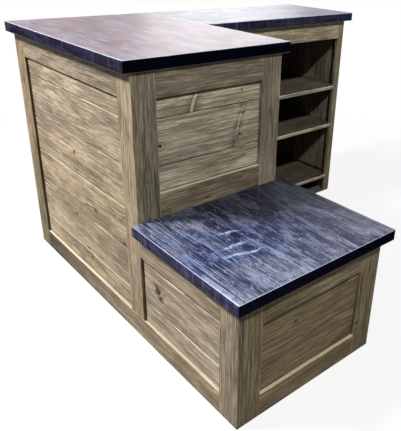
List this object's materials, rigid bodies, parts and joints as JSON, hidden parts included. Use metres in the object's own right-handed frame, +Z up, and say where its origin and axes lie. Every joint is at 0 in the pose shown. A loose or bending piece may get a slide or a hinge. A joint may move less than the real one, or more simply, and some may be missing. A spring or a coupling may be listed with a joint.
{
  "type": "cash wrap counter",
  "caption": "L-shaped shop cash wrap counter of framed, planked weathered pine with dark stained tops, a low block at one end and an open-shelved return for staff.",
  "frame": {"origin": "on the floor, under the middle of the counter's outline", "axes": "+X along the customer face from the return towards the low block, +Y from the customer face towards the staff side, +Z up; the customer stands on the -Y side"},
  "size_m": [1.5122, 1.6312, 1.0157],
  "materials": {
    "navy_stain": "dark blue-black stain under a satin clear coat",
    "weathered_trim": "grey-brown weathered stain, satin",
    "weathered_plank": "grey-brown weathered stain, satin",
    "carcass_pine": "grey-brown stain, matt",
    "shelf_pine": "grey-brown stain, matt"
  },
  "bodies": {
    "root": {"main_top": "navy_stain", "return_top": "navy_stain", "low_top": "navy_stain", "front_far_stile": "weathered_trim", "front_mid_stile": "weathered_trim", "front_near_stile": "weathered_trim", "front_bottom_rail": "weathered_trim", "front_tall_top_rail": "weathered_trim", "front_low_top_rail": "weathered_trim", "front_tall_plank_1": "weathered_plank", "front_tall_plank_2": "weathered_plank", "front_tall_plank_3": "weathered_plank", "front_tall_plank_4": "weathered_plank", "front_tall_plank_5": "weathered_plank", "front_tall_plank_6": "weathered_plank", "front_low_plank_1": "weathered_plank", "front_low_plank_2": "weathered_plank", "front_low_plank_3": "weathered_plank", "near_tall_left_stile": "weathered_trim", "near_tall_right_stile": "weathered_trim", "near_tall_bottom_rail": "weathered_trim", "near_tall_top_rail": "weathered_trim", "near_tall_plank_1": "weathered_plank", "near_tall_plank_2": "weathered_plank", "near_tall_plank_3": "weathered_plank", "near_low_left_stile": "weathered_trim", "near_low_right_stile": "weathered_trim", "near_low_bottom_rail": "weathered_trim", "near_low_top_rail": "weathered_trim", "near_low_plank_1": "weathered_plank", "near_low_plank_2": "weathered_plank", "near_low_plank_3": "weathered_plank", "far_front_stile": "weathered_trim", "far_wing_stile": "weathered_trim", "far_bottom_rail": "weathered_trim", "far_top_rail": "weathered_trim", "far_grooved_panel": "weathered_plank", "tall_front_sheet": "carcass_pine", "tall_end_sheet": "carcass_pine", "far_sheet": "carcass_pine", "wing_divider": "carcass_pine", "wing_end_sheet": "carcass_pine", "low_front_sheet": "carcass_pine", "low_inner_sheet": "carcass_pine", "low_end_sheet": "carcass_pine", "wing_left_stile": "weathered_trim", "wing_right_stile": "weathered_trim", "wing_apron": "weathered_trim", "tall_staff_stile": "weathered_trim", "tall_staff_apron": "weathered_trim", "low_staff_apron": "weathered_trim", "wing_upper_shelf": "shelf_pine", "wing_lower_shelf": "shelf_pine", "wing_deck": "shelf_pine", "tall_shelf": "shelf_pine", "tall_deck": "shelf_pine", "low_deck": "shelf_pine"}
  },
  "joints": []
}
